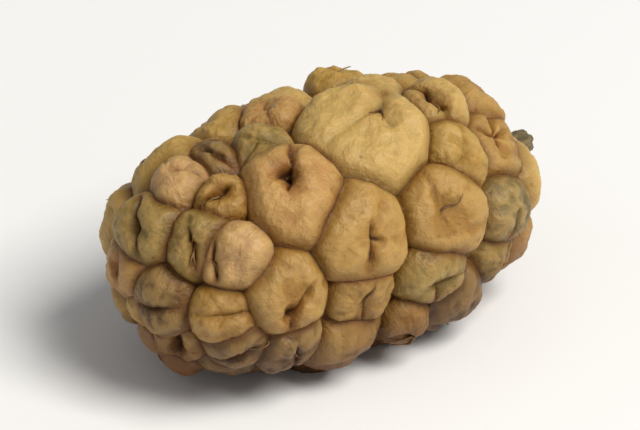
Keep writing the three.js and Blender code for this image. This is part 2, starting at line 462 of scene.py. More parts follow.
def worked(operation, *terms):
    """Adds the math node for one step of a sum."""
    tree = next(term.tree for term in terms if isinstance(term, Value))
    vectors = [t for t in terms if isinstance(t, tuple) or getattr(t, "is_vector", False)]
    if operation == "MULTIPLY" and len(vectors) == 1:
        number = terms[0] if terms[1] is vectors[0] else terms[1]
        node = tree.nodes.new("ShaderNodeVectorMath")
        node.operation = "SCALE"
        feed(node.inputs["Vector"], vectors[0])
        feed(node.inputs["Scale"], number)
        return Value(node.outputs["Vector"])
    node = tree.nodes.new("ShaderNodeVectorMath" if vectors else "ShaderNodeMath")
    node.operation = operation
    for socket, term in zip(node.inputs, terms):
        feed(socket, term)
    gives_vector = vectors and operation not in VECTOR_TO_NUMBER
    return Value(node.outputs["Vector" if gives_vector else "Value"])


print("a node's output can now stand beside + - * / ** < and >")

# %% Nodes with named inputs
def add_node(tree, kind, inputs=None, **settings):
    """Adds a node, sets it up and feeds its inputs by name."""
    node = tree.nodes.new(kind)
    for name, setting in settings.items():
        setattr(node, name, setting)
    for name, value in (inputs or {}).items():
        feed(node.inputs[name], value)
    return node


def parts_of(vector):
    node = add_node(vector.tree, "ShaderNodeSeparateXYZ", {"Vector": vector})
    return [Value(node.outputs[axis]) for axis in "XYZ"]


def smooth_step(value, low, high):
    """0 below low, 1 above high, and an S-curve between."""
    node = add_node(
        value.tree, "ShaderNodeMapRange", {"Value": value, "From Min": low, "From Max": high},
        interpolation_type="SMOOTHSTEP",
    )
    return Value(node.outputs["Result"])


def noise(place, size, detail=2.0, roughness=0.5):
    """Noise between about -1 and 1, whose lumps are about size across."""
    node = add_node(
        place.tree, "ShaderNodeTexNoise",
        {"Vector": place, "Scale": 1 / size, "Detail": detail, "Roughness": roughness},
    )
    return Value(node.outputs[0]) * 2.0 - 1.0


print("helpers for numbers:", ", ".join(h.__name__ for h in (parts_of, smooth_step, noise)))

# %% Attributes, geometry and trees
def named(tree, name, kind="FLOAT"):
    """Reads an attribute of the mesh inside a geometry tree."""
    node = add_node(tree, "GeometryNodeInputNamedAttribute", {"Name": name}, data_type=kind)
    return Value(node.outputs["Attribute"])


def step(geometry, kind, inputs=None, **settings):
    """Adds a node that takes in a geometry and gives one back."""
    node = add_node(geometry.tree, kind, inputs, **settings)
    feed(node.inputs[0], geometry)
    return Value(node.outputs[0])


def stored(geometry, name, value, kind="FLOAT"):
    """Writes an attribute of the mesh."""
    return step(
        geometry, "GeometryNodeStoreNamedAttribute", {"Name": name, "Value": value}, data_type=kind
    )


def moved(geometry, inputs):
    return step(geometry, "GeometryNodeSetPosition", inputs)


def new_tree(name, kind, inputs, outputs):
    """An empty node tree; each input and output has a name and a socket kind or a number."""
    tree = bpy.data.node_groups.new(name, kind)
    for direction, sockets in (("INPUT", inputs), ("OUTPUT", outputs)):
        for label, what in sockets.items():
            is_number = isinstance(what, (int, float))
            socket_kind = "NodeSocketFloat" if is_number else what
            item = tree.interface.new_socket(label, in_out=direction, socket_type=socket_kind)
            if is_number:
                item.default_value = what
    group_input = tree.nodes.new("NodeGroupInput")
    group_output = tree.nodes.new("NodeGroupOutput")
    given = {socket.name: Value(socket) for socket in group_input.outputs if socket.name}
    return tree, given, group_output


print("helpers for geometry:", ", ".join(h.__name__ for h in (named, step, stored, moved)))

# %% [markdown]
# The press. Two drupelets that grow side by side meet in a plane, and each flattens against it.
# A group does that for one neighbour: it measures how far a corner of the mesh lies past that
# plane and pushes it back, softly, so that the shoulder stays round. It runs inside a repeat
# zone, once for each drupelet of the fruit. A boolean cut would give hard edges and no
# swelling, and a cloth or soft-body simulation would take minutes for the same thing.

# %% The press against one neighbour
def softly_above(value, softness):
    """The value where it is above 0, and close to 0 where it is below, with a soft corner."""
    steps = value / softness
    soft = worked("LOGARITHM", worked("EXPONENT", worked("MINIMUM", steps, 30.0)) + 1.0, math.e)
    return worked("MAXIMUM", soft, steps) * softness


def press_group():
    group, given, output = new_tree(
        "Press against a neighbour", "GeometryNodeTree",
        {
            "Place": "NodeSocketVector", "Way": "NodeSocketVector", "Limit": 1.0, "Softness": 0.14,
        },
        {"Place": "NodeSocketVector", "Room": "NodeSocketFloat"},
    )
    past = worked("DOT_PRODUCT", given["Place"], given["Way"]) - given["Limit"]
    back = softly_above(past, given["Softness"])
    feed(output.inputs["Place"], given["Place"] - given["Way"] * back)
    feed(output.inputs["Room"], back - past)
    return group


PRESS = press_group()
print("press group:", len(PRESS.nodes), "nodes")

# %% [markdown]
# The creases of a crown. Four tepals wrap each drupelet, and where their edges meet the dried
# skin folds in, so that the crown falls into plump lobes. A bell curve would give such a fold a
# round bottom, but here two lobes meet in a sharp line. The curve used is exp(-|s|): it has a
# point at the bottom and bulges on both sides. One group makes one arm of the fold, from its
# direction and its reach, and the arm wanders a little, because nothing dries straight.

# %% One arm of a crease
LEAST_REACH = 0.05
ARM_START = (-0.2, 0.1)
SLIT_END = (1.0, 0.4)
LOBE_END = (1.6, 0.4)


def sharp_fold(side, width):
    """1 in the bottom of a fold and falling off on both sides, with a sharp line in the middle."""
    return worked("EXPONENT", worked("ABSOLUTE", side) / width * -1.0)


def crease_arm_group():
    group, given, output = new_tree(
        "Crease arm", "GeometryNodeTree",
        {
            "Lengthways": 0.0, "Across": 0.0, "Wander": 0.0, "Direction": 0.0, "Reach": 1.0,
            "Slit width": 0.08, "Lobe width": 0.11,
        },
        {"Slit": "NodeSocketFloat", "Lobe": "NodeSocketFloat"},
    )
    cosine = worked("COSINE", given["Direction"])
    sine = worked("SINE", given["Direction"])
    run = given["Lengthways"] * cosine + given["Across"] * sine
    side = given["Across"] * cosine - given["Lengthways"] * sine + given["Wander"]
    share = run / worked("MAXIMUM", given["Reach"], LEAST_REACH)
    on_arm = (given["Reach"] > LEAST_REACH) * smooth_step(run, *ARM_START)
    for label, end in (("Slit", SLIT_END), ("Lobe", LOBE_END)):
        fold = sharp_fold(side, given[f"{label} width"])
        feed(output.inputs[label], on_arm * smooth_step(share, *end) * fold)
    return group


CREASE_ARM = crease_arm_group()
print("crease arm group:", len(CREASE_ARM.nodes), "nodes")

# %% [markdown]
# The drupelets. One unit ball is copied to every seat and made real, and from there each copy
# knows its seat's numbers: its width, its way out, its dent, its creases. Sums turn the ball
# into a flattened head on a narrowing root. Then comes the press, and last the drying: sunken
# shoulders, creases, lumps, and wrinkles that run towards the crown. Modelling every drupelet by
# hand would look no better and would repeat one job 66 times. The tree grows cell by cell.

# %% The drupelets' sizes
DRUPELET_SIZES = {
    "Fineness": 6,
    "Free spread": 1.14,
    "Plumpness": 0.25,
    "Ring squareness": 0.95,
    "Crown squareness": 0.97,
    "Root depth": 1.3,
    "Grown together": 0.15,
    "Press softness": 0.07,
    "Lump size": 1.3,
    "Lump depth": 0.28,
    "Shoulder width": 0.22,
    "Shoulder depth": 0.16,
    "Slit width": 0.09,
    "Slit depth": 0.26,
    "Lobe width": 0.1,
    "Lobe depth": 0.32,
    "Pit width": 0.3,
    "Stain width": 0.27,
    "Fold depth": 0.08,
    "Wrinkle size": 0.7,
    "Wrinkle depth": 0.09,
    "Floor softness": 0.05,
}


DRUPELET_INPUTS = {"Seats": "NodeSocketGeometry", "Skin": "NodeSocketMaterial", **DRUPELET_SIZES}
DRUPELET_INPUTS["Fineness"] = "NodeSocketInt"
DRUPELETS, given, drupelets_out = new_tree(
    "Drupelets", "GeometryNodeTree", DRUPELET_INPUTS, {"Geometry": "NodeSocketGeometry"}
)
print(len(DRUPELET_SIZES), "sizes go into the tree")

# %% A ball on every seat
def place_now():
    return Value(add_node(DRUPELETS, "GeometryNodeInputPosition").outputs[0])


def own(name):
    """A number that the drupelet took over from its seat."""
    return named(DRUPELETS, name)


def own_vector(name):
    return named(DRUPELETS, name, "FLOAT_VECTOR")


# Each corner of a copy remembers where on the ball it was
ball = add_node(
    DRUPELETS, "GeometryNodeMeshIcoSphere", {"Radius": 1.0, "Subdivisions": given["Fineness"]}
)
remembered = stored(Value(ball.outputs["Mesh"]), "ball", place_now(), "FLOAT_VECTOR")
copies = step(given["Seats"], "GeometryNodeInstanceOnPoints", {"Instance": remembered})
balls = step(copies, "GeometryNodeRealizeInstances")
centre = own_vector("centre")
print("with the balls the tree has", len(DRUPELETS.nodes), "nodes")

# %% The head and the root
HEAD_TO_RING = 0.55
ROOT_NARROWING = 0.45
LEAST_RING = 0.0001
LUMP_SHIFT = 3.0


def shaped_ball():
    """The place of each corner of a drupelet before the press, measured from its seat."""
    x, y, up = parts_of(own_vector("ball"))
    ring = worked("MAXIMUM", worked("SQRT", x * x + y * y), LEAST_RING)
    outer = up > 0.0
    inner = 1.0 - outer
    plump = outer * up * (1.0 - up) * given["Plumpness"] + inner * up * ROOT_NARROWING + 1.0
    half = own("width") * 0.5 * given["Free spread"] * plump * ring ** given["Ring squareness"]
    crown = ring / HEAD_TO_RING
    sunk = outer * own("dent") * worked("EXPONENT", crown * crown * -1.0)
    head = worked("ABSOLUTE", up) ** given["Crown squareness"] * own("head")
    depth = outer * head + inner * up * given["Root depth"] - sunk
    return (
        own_vector("lengthways") * (x / ring * half * own("stretch"))
        + own_vector("across") * (y / ring * half / own("stretch"))
        + own_vector("out") * depth
    )


# The place of the seat goes into every noise, so that no two drupelets are alike
shaped = shaped_ball()
lumps = noise(shaped + centre * LUMP_SHIFT, given["Lump size"], 1.0) * given["Lump depth"]
heads = moved(balls, {"Position": centre + shaped + own_vector("out") * lumps})
print("with heads and roots it has", len(DRUPELETS.nodes), "nodes")

# %% The press, once for each drupelet of the fruit
FARTHEST_NEIGHBOUR = 5.0
SAME_SEAT = 0.01
PLENTY_OF_ROOM = 9.0


def pressed_together(heads):
    many = add_node(
        DRUPELETS, "GeometryNodeAttributeDomainSize", {"Geometry": given["Seats"]},
        component="MESH",
    )
    zone_in = DRUPELETS.nodes.new("GeometryNodeRepeatInput")
    zone_out = DRUPELETS.nodes.new("GeometryNodeRepeatOutput")
    zone_in.pair_with_output(zone_out)
    feed(zone_in.inputs["Iterations"], Value(many.outputs["Point Count"]))
    feed(zone_in.inputs["Geometry"], stored(heads, "room", PLENTY_OF_ROOM))
    turn = Value(zone_in.outputs["Iteration"])

    def of_neighbour(value, kind):
        sample = add_node(
            DRUPELETS, "GeometryNodeSampleIndex",
            {"Geometry": given["Seats"], "Value": value, "Index": turn},
            data_type=kind, domain="POINT",
        )
        return Value(sample.outputs[0])

    apart = of_neighbour(place_now(), "FLOAT_VECTOR") - centre
    reach = worked("LENGTH", apart)
    share = own("width") / (own("width") + of_neighbour(own("width"), "FLOAT"))
    press = add_node(
        DRUPELETS, "GeometryNodeGroup",
        {
            "Place": place_now() - centre,
            "Way": worked("NORMALIZE", apart),
            "Limit": reach * share + given["Grown together"],
            "Softness": given["Press softness"],
        },
        node_tree=PRESS,
    )
    is_neighbour = (reach > SAME_SEAT) * (reach < FARTHEST_NEIGHBOUR)
    room = Value(press.outputs["Room"]) - given["Grown together"]
    far = (1.0 - is_neighbour) * PLENTY_OF_ROOM
    least = worked("MINIMUM", own("room"), room * is_neighbour + far)
    measured = stored(Value(zone_in.outputs["Geometry"]), "room", least)
    pressed = moved(measured, {
        "Position": centre + Value(press.outputs["Place"]), "Selection": is_neighbour > 0.5,
    })
    feed(zone_out.inputs["Geometry"], pressed)
    return Value(zone_out.outputs["Geometry"])


pressed = pressed_together(heads)
print("with the press it has", len(DRUPELETS.nodes), "nodes")

# %% Creases
LEAST_GAPE = 0.6
WANDER_SHIFT = 5.0
WANDER_SIZE, WANDER_DEPTH = 1.6, 0.18


def crown_place():
    """The crown's own flat coordinates, measured from where its creases start."""
    return [
        worked("DOT_PRODUCT", place_now() - centre, own_vector(way)) - own(f"apex_{way}")
        for way in ("lengthways", "across")
    ]


def creases(wander):
    """How deep each place lies in a slit and between lobes, both from 0 to 1."""
    lengthways, across = crown_place()
    deepest = {}
    for arm in range(MOST_ARMS):
        made = add_node(
            DRUPELETS, "GeometryNodeGroup",
            {
                "Lengthways": lengthways, "Across": across, "Wander": wander,
                "Direction": own(f"arm_{arm}"), "Reach": own(f"reach_{arm}"),
                "Slit width": given["Slit width"] * worked("MAXIMUM", own("slit"), LEAST_GAPE),
                "Lobe width": given["Lobe width"] * own("width"),
            },
            node_tree=CREASE_ARM,
        )
        for label in ("Slit", "Lobe"):
            depth = Value(made.outputs[label])
            deepest[label] = worked("MAXIMUM", deepest[label], depth) if arm else depth
    return deepest["Slit"], deepest["Lobe"]


own_place = place_now() - centre + centre * WANDER_SHIFT
slit, lobe = creases(noise(own_place, WANDER_SIZE, 1.0) * WANDER_DEPTH)
slit = slit * worked("MINIMUM", own("slit"), 1.0)
print("with", MOST_ARMS, "creases it has", len(DRUPELETS.nodes), "nodes")

# %% Folds and wrinkles
CALM_MIDDLE = 0.15
FOLD_STRETCH = 0.35
FOLD_SHIFT = 4.0
FOLD_SIZE = 0.42


def radial_place():
    """A place for noise that is stretched along the way to the apex, so that it makes folds."""
    lengthways, across = crown_place()
    away = worked("SQRT", lengthways * lengthways + across * across)
    wide = worked("MAXIMUM", away, CALM_MIDDLE)
    turned = add_node(
        DRUPELETS, "ShaderNodeCombineXYZ",
        {"X": lengthways / wide, "Y": across / wide, "Z": away * FOLD_STRETCH},
    )
    return Value(turned.outputs[0]) + centre * FOLD_SHIFT, away


fold_place, from_apex = radial_place()
folds = noise(fold_place, FOLD_SIZE, 2.0, 0.6)
crest = 1.0 - worked("ABSOLUTE", noise(own_place, given["Wrinkle size"], 3.0, 0.55)) * 2.0
print("with folds and wrinkles it has", len(DRUPELETS.nodes), "nodes")

# %% The drying
OPEN_ROOM = 0.4


def bell(value, width):
    """1 where the value is 0, and a round fall to nothing on both sides."""
    share = value / width
    return worked("EXPONENT", share * share * -1.0)


def dried(pressed):
    """Shoulders and the style's pit sink, and the open skin folds, wrinkles and creases."""
    room = worked("MAXIMUM", own("room"), 0.0)
    shoulder = sharp_fold(room, given["Shoulder width"]) * given["Shoulder depth"]
    inwards = shoulder + bell(from_apex, given["Pit width"]) * own("pit")
    parting = own("lobes") * own("width") / USUAL_WIDTH
    outwards = (
        folds * given["Fold depth"]
        + crest * given["Wrinkle depth"]
        - slit * given["Slit depth"]
        - lobe * given["Lobe depth"] * parting
    ) * smooth_step(room, 0.0, OPEN_ROOM)
    kept = stored(pressed, "slit_mask", slit)
    kept = stored(kept, "relief", (folds + crest) * 0.5)
    stain = bell(from_apex, own("width") * given["Stain width"]) * own("stain")
    kept = stored(kept, "apex_stain", stain)
    kept = stored(kept, "fold_place", fold_place, "FLOAT_VECTOR")
    normal = Value(add_node(DRUPELETS, "GeometryNodeInputNormal").outputs[0])
    return moved(kept, {"Offset": normal * outwards - own_vector("out") * inwards})


dry = dried(pressed)
print("with the drying it has", len(DRUPELETS.nodes), "nodes")

# %% Laid down, and the end of the tree
# The surface that the fruit lies on presses it too
height = parts_of(place_now())[2]
raised = softly_above(height, given["Floor softness"]) - height
lift = add_node(DRUPELETS, "ShaderNodeCombineXYZ", {"Z": raised})
fruit = moved(dry, {"Offset": Value(lift.outputs[0])})
real = step(fruit, "GeometryNodeRealizeInstances")
skinned = step(real, "GeometryNodeSetMaterial", {"Material": given["Skin"]})
feed(drupelets_out.inputs["Geometry"], skinned)
print("the whole tree has", len(DRUPELETS.nodes), "nodes")

# %% [markdown]
# The seats as a mesh. Geometry Nodes take their numbers from attributes, so the seats become a
# mesh of loose points, one for each drupelet, that carries everything the tree asks for. Then
# the tree runs as a modifier. Its inputs are set by the sockets' identifiers, because two
# sockets may share a name, and the evaluated result is turned into a plain mesh.

# %% Points that carry numbers
# Each kind of attribute has its own name for its numbers, and a size
FIELDS = {"FLOAT": ("value", 1), "FLOAT_VECTOR": ("vector", 3), "FLOAT_COLOR": ("color", 4)}
SEAT_NUMBERS = ("width", "head", "stretch", "dent", "pit", "slit", "lobes", "stain")


def keep_column(mesh, name, column, kind="FLOAT"):
    """Stores one number, vector or colour for each corner of a mesh."""
    attribute = mesh.attributes.new(name, kind, "POINT")
    attribute.data.foreach_set(FIELDS[kind][0], np.asarray(column, dtype=np.float32).ravel())


def arm_column(key, arm):
    return [s[key][arm] if arm < len(s[key]) else 0.0 for s in seats]


def seat_mesh():
    mesh = bpy.data.meshes.new("drupelet_seats")
    mesh.from_pydata([tuple(s["centre"]) for s in seats], [], [])
    for key in SEAT_NUMBERS:
        keep_column(mesh, key, [s[key] for s in seats])
    for number, way in enumerate(("lengthways", "across")):
        keep_column(mesh, f"apex_{way}", [s["apex"][number] for s in seats])
    for arm in range(MOST_ARMS):
        keep_column(mesh, f"arm_{arm}", arm_column("arms", arm))
        keep_column(mesh, f"reach_{arm}", arm_column("reach", arm))
    for key in ("centre", "out", "lengthways", "across"):
        keep_column(mesh, key, [s[key] for s in seats], "FLOAT_VECTOR")
    keep_column(mesh, "drupelet_colour", [(*s["colour"], 1.0) for s in seats], "FLOAT_COLOR")
    return mesh


seat_points = seat_mesh()
print("the points carry", len(seat_points.attributes), "attributes")

# %% Growing the drupelets
def placed(name, data):
    """A new object in the scene."""
    thing = bpy.data.objects.new(name, data)
    bpy.context.scene.collection.objects.link(thing)
    return thing


def evaluated_mesh(holder):
    """What the modifiers of an object make of it, as a plain mesh."""
    evaluated = holder.evaluated_get(bpy.context.evaluated_depsgraph_get())
    return bpy.data.meshes.new_from_object(evaluated)


def grown(name, start_mesh, tree, settings):
    """Runs a geometry tree on a mesh and returns the result as a plain mesh."""
    holder = placed(name, start_mesh)
    modifier = holder.modifiers.new(name, "NODES")
    modifier.node_group = tree
    for item in tree.interface.items_tree:
        if item.item_type == "SOCKET" and item.in_out == "INPUT" and item.name in settings:
            modifier[item.identifier] = settings[item.name]
    result = evaluated_mesh(holder)
    holder.modifiers.clear()
    bpy.data.objects.remove(holder)
    return result


loose_drupelets = grown("loose_drupelets", seat_points, DRUPELETS, DRUPELET_SIZES)
print("loose drupelets:", len(loose_drupelets.polygons), "faces")

# %% [markdown]
# One skin. The drupelets cross each other and hang on the core, and a real mulberry has one
# unbroken skin. A boolean union makes that skin: the core takes every drupelet in at once from
# a collection, with the manifold solver, which is quick and keeps the mesh closed. A voxel
# remesh would be simpler, but it blurs the thin cracks that make drupelets read as pressed.

# %% The core
CORE_DEPTH = 1.1
CORE_FINENESS = 5


def core_mesh():
    """The fruit's form again, an even depth under the crowns."""
    shape = bmesh.new()
    bmesh.ops.create_icosphere(shape, subdivisions=CORE_FINENESS, radius=1)
    for corner in shape.verts:
        along = max(-1.0, min(1.0, corner.co.x))
        around = math.atan2(-corner.co.y, corner.co.z)
        corner.co = skin_point(along, around) - skin_normal(along, around) * CORE_DEPTH + SHIFT
    mesh = bpy.data.meshes.new("core")
    shape.to_mesh(mesh)
    shape.free()
    return mesh


core = core_mesh()
print("core:", len(core.polygons), "faces,", CORE_DEPTH, "mm under the skin")

# %% The union
def read_column(collection, field, size, kind=np.float32):
    """Reads one number or vector for each item of a mesh's collection."""
    column = np.empty(len(collection) * size, dtype=kind)
    collection.foreach_get(field, column)
    return column.reshape(-1, size)


def split_evenly(mesh, count):
    """The copies of one ball lie in the mesh one after another, so they part by counting."""
    corners = read_column(mesh.vertices, "co", 3).reshape(count, -1, 3)
    faces = read_column(mesh.loops, "vertex_index", 1, int).reshape(count, -1, 3)
    each = corners.shape[1]
    for number in range(count):
        piece = bpy.data.meshes.new(f"drupelet_{number}")
        piece.from_pydata(corners[number].tolist(), [], (faces[number] - number * each).tolist())
        yield piece


def joined(base_mesh, others):
    """One closed mesh out of a base and everything that crosses it."""
    crowd = bpy.data.collections.new("to_join")
    bpy.context.scene.collection.children.link(crowd)
    for mesh in others:
        crowd.objects.link(bpy.data.objects.new(mesh.name, mesh))
    base = placed("union_base", base_mesh)
    union = base.modifiers.new("union", "BOOLEAN")
    union.operation = "UNION"
    union.operand_type = "COLLECTION"
    union.collection = crowd
    union.solver = "MANIFOLD"
    result = evaluated_mesh(base)
    for helper in list(crowd.objects) + [base]:
        bpy.data.objects.remove(helper)
    bpy.data.collections.remove(crowd)
    return result


whole_skin = joined(core, split_evenly(loose_drupelets, len(seats)))
print("one skin:", len(whole_skin.vertices), "corners,", len(whole_skin.polygons), "faces")

# %% [markdown]
# What the skin remembers. The union makes new corners, so the numbers that the drupelets carried
# are handed on: each corner of the skin takes those of the nearest corner of the loose
# drupelets. A k-d tree finds it in a moment. The skin then knows, everywhere, whose drupelet it
# is, how far the next one is, and where a seam runs.

# %% Handing the numbers on
CARRIED = {
    "room": "FLOAT",
    "slit_mask": "FLOAT",
    "apex_stain": "FLOAT",
    "relief": "FLOAT",
    "fold_place": "FLOAT_VECTOR",
    "drupelet_colour": "FLOAT_COLOR",
}


def search_tree(places):
    """A tree that finds the nearest of many places quickly."""
    tree = KDTree(len(places))
    for number, place in enumerate(places):
        tree.insert(place, number)
    tree.balance()
    return tree


def hand_on(source, target):
    tree = search_tree([vertex.co for vertex in source.vertices])
    nearest = np.array([tree.find(vertex.co)[1] for vertex in target.vertices])
    for label, kind in CARRIED.items():
        column = read_column(source.attributes[label].data, *FIELDS[kind])
        keep_column(target, label, column[nearest], kind)


hand_on(loose_drupelets, whole_skin)
print("numbers on the skin:", ", ".join(CARRIED))

# %% [markdown]
# Where the dark goes. On a dried fruit juice and dust gather in the folds; the folds are also
# painted darker as painted shade, and the crests paler, partly as a painted highlight. A shader
# can't see a fold, so both things are measured on the finished skin and kept as numbers: how
# far each corner is from the nearest sharp fold, and how deep it lies below its surroundings.
# The first comes from the edges between neighbours whose two faces turn towards each other,
# the second from smoothing a copy of the corners and looking how far each one was pulled out.

# %% Distance to the folds
SHARP_ANGLE = math.radians(32)
SHORT_EDGE = 0.02
GAP_ROOM = 0.25


def fold_middles(mesh):
    """The middles of the sharp inward edges where two drupelets meet."""
    shape = bmesh.new()
    shape.from_mesh(mesh)
    room = shape.verts.layers.float["room"]
    middles = [
        (edge.verts[0].co + edge.verts[1].co) / 2
        for edge in shape.edges
        if min(edge.verts[0][room], edge.verts[1][room]) < GAP_ROOM
        and edge.calc_length() > SHORT_EDGE
        and edge.calc_face_angle_signed(0) < -SHARP_ANGLE
    ]
    shape.free()
    return middles


def keep_fold_distance(mesh):
    middles = fold_middles(mesh)
    tree = search_tree(middles)
    keep_column(mesh, "from_fold", [tree.find(vertex.co)[2] for vertex in mesh.vertices])
    return len(middles)


print(keep_fold_distance(whole_skin), "edges lie in a fold")

# %% Depth below the surroundings
HOLLOW_ROUNDS = 80
SOFTENING_ROUNDS = 2


def averaged(column, pairs, rounds):
    """Each corner's numbers moved towards the mean of its neighbours', again and again."""
    count = np.bincount(pairs.ravel(), minlength=len(column))
    for _ in range(rounds):
        total = np.stack([
            np.bincount(pairs[:, 0], values[pairs[:, 1]], len(column))
            + np.bincount(pairs[:, 1], values[pairs[:, 0]], len(column))
            for values in column.T
        ], axis=1)
        column = (column + total / count[:, None]) / 2
    return column


def keep_hollows(mesh):
    places = read_column(mesh.vertices, "co", 3).astype(float)
    normals = read_column(mesh.vertices, "normal", 3)
    pairs = read_column(mesh.edges, "vertices", 2, int)
    pulled = averaged(places, pairs, HOLLOW_ROUNDS) - places
    hollow = averaged((pulled * normals).sum(axis=1)[:, None], pairs, SOFTENING_ROUNDS)
    keep_column(mesh, "hollow", hollow)
    return hollow


hollow = keep_hollows(whole_skin)
print("hollows from, mm", np.percentile(hollow, [1, 25, 50, 75, 99]).round(3))

# %% [markdown]
# Fewer faces. A slit is a tenth of a millimetre wide, so the balls had to be fine, but the skin
# between two slits is smooth and needs far fewer faces. Decimate merges edges where that changes
# the shape least, and the corners that stay keep their numbers.

# %% Fewer faces where the skin is smooth
MOST_TRIANGLES = 185000


def thinned(mesh, most_triangles):
    triangles = sum(len(face.vertices) - 2 for face in mesh.polygons)
    holder = placed("to_thin", mesh)
    decimate = holder.modifiers.new("thin", "DECIMATE")
    decimate.ratio = min(1.0, most_triangles / triangles)
    result = evaluated_mesh(holder)
    bpy.data.objects.remove(holder)
    return result


fruit_skin = thinned(whole_skin, MOST_TRIANGLES)
print("thinned to", len(fruit_skin.polygons), "faces")

# %% [markdown]
# The dried styles. Each drupelet of a mulberry ends in a forked, hair-thin style, and some stay
# on as brown threads that lie curled over the crown. Hair curves would be lost in the export,
# and tubes placed one by one would be tedious. So Python lays the paths over the skin, where it
# can ask for the nearest point, and Geometry Nodes turn every path into a tapering tube of a
# few dozen faces.

# %% Paths over the skin
KEPT_SHARE = 0.5
FORKS = (-0.35, 0.35)
FEWEST_STEPS, MOST_STEPS = 7, 13
THREAD_STEP = 0.13
THREAD_LIFT = 0.07
THREAD_WANDER = 0.4
CURL_START, END_CURL = 0.55, 0.9
THREAD_SEED = 31
threads = random.Random(THREAD_SEED)


def apex_on_skin(skin, seat):
    """Where the ray down the middle of a crown meets the skin."""
    sideways = seat["lengthways"] * seat["apex"][0] + seat["across"] * seat["apex"][1]
    above = Vector(seat["centre"] + sideways + seat["out"] * 2 * USUAL_WIDTH)
    return skin.ray_cast(above, -Vector(seat["out"]))[0]


def thread_path(skin, seat, start, heading, steps):
    """Points of one thread: it follows the skin, wanders, and its end curls up off it."""
    way = Vector(seat["lengthways"] * math.cos(heading) + seat["across"] * math.sin(heading))
    place, path = start, []
    for number in range(steps):
        near, normal, _, _ = skin.find_nearest(place)
        curl = END_CURL * max(0.0, number / steps - CURL_START) ** 2
        point = near + normal * (THREAD_LIFT + curl)
        point.z = max(point.z, THREAD_LIFT)
        path.append(point)
        way = way + normal.cross(way) * threads.uniform(-THREAD_WANDER, THREAD_WANDER)
        way = (way - normal * way.dot(normal)).normalized()
        place = near + way * THREAD_STEP
    ends = [path[0]] + path + [path[-1]]
    return [(ends[k] + ends[k + 1] * 2 + ends[k + 2]) / 4 for k in range(len(path))]


def thread_paths(mesh):
    skin = BVHTree.FromPolygons(
        [v.co.copy() for v in mesh.vertices], [tuple(p.vertices) for p in mesh.polygons]
    )
    paths = []
    for seat in seats:
        start = apex_on_skin(skin, seat)
        if threads.random() > KEPT_SHARE or start is None:
            continue
        heading = threads.uniform(0, 2 * math.pi)
        for fork in FORKS[: threads.choice((1, 2))]:
            steps = threads.randint(FEWEST_STEPS, MOST_STEPS)
            paths.append(thread_path(skin, seat, start, heading + fork, steps))
    return paths


paths = thread_paths(fruit_skin)
print(len(paths), "dried styles")

# %% Tubes along the paths
def paths_mesh(name, paths):
    """Loose lines, each point of which knows how far along its own line it is."""
    places, edges, shares = [], [], []
    for path in paths:
        first = len(places)
        places += [tuple(point) for point in path]
        edges += [(first + k, first + k + 1) for k in range(len(path) - 1)]
        shares += [k / (len(path) - 1) for k in range(len(path))]
    mesh = bpy.data.meshes.new(name)
    mesh.from_pydata(places, edges, [])
    keep_column(mesh, "share", shares)
    return mesh


def thread_tree():
    tree, given, output = new_tree(
        "Dried styles", "GeometryNodeTree",
        {
            "Paths": "NodeSocketGeometry", "Finish": "NodeSocketMaterial",
            "Root radius": 0.0, "Tip radius": 0.0, "Sides": "NodeSocketInt",
        },
        {"Geometry": "NodeSocketGeometry"},
    )
    curve = step(given["Paths"], "GeometryNodeMeshToCurve")
    share = named(tree, "share")
    radius = given["Root radius"] * (1.0 - share) + given["Tip radius"] * share
    ring = add_node(
        tree, "GeometryNodeCurvePrimitiveCircle", {"Resolution": given["Sides"], "Radius": 1.0},
        mode="RADIUS",
    )
    tubes = step(
        curve, "GeometryNodeCurveToMesh",
        {"Profile Curve": Value(ring.outputs["Curve"]), "Scale": radius, "Fill Caps": True},
    )
    real = step(tubes, "GeometryNodeRealizeInstances")
    finish = step(real, "GeometryNodeSetMaterial", {"Material": given["Finish"]})
    feed(output.inputs["Geometry"], finish)
    return tree


THREADS = thread_tree()
THREAD_SIZES = {"Root radius": 0.06, "Tip radius": 0.02, "Sides": 5}
thread_mesh = grown("dried_styles", paths_mesh("style_paths", paths), THREADS, THREAD_SIZES)
print("threads:", len(thread_mesh.polygons), "faces")

# %% [markdown]
# Materials. Both the flesh and the stalk dry out, so both wrinkle and both carry small dark
# specks. Those two effects are shader node groups, built once and used with each material's own
# sizes. They put out only a height or a mask. The shader itself stays in the material.

# %% Shader helpers
def object_place(tree):
    """The place on the piece in millimetres."""
    return Value(add_node(tree, "ShaderNodeTexCoord").outputs["Object"]) * (1 / MM)


def attribute_value(tree, name, output="Fac"):
    return Value(add_node(tree, "ShaderNodeAttribute", attribute_name=name).outputs[output])


def mixed(share, first, second, blend="MIX"):
    """Mixes two colours, each of them a Value or a plain RGBA."""
    node = add_node(share.tree, "ShaderNodeMix", data_type="RGBA", blend_type=blend)
    feed(node.inputs[0], share)
    feed(node.inputs[6], first)
    feed(node.inputs[7], second)
    return Value(node.outputs[2])


def rgba(*screen_rgb):
    return (*scene_colour(screen_rgb), 1.0)


print("mid grey on a screen is, in the scene,", round(rgba(128, 128, 128)[0], 3))

# %% Specks and wrinkles
DOT_EDGE = (0.34, 0.12)
PICK_SOFTNESS = 0.04


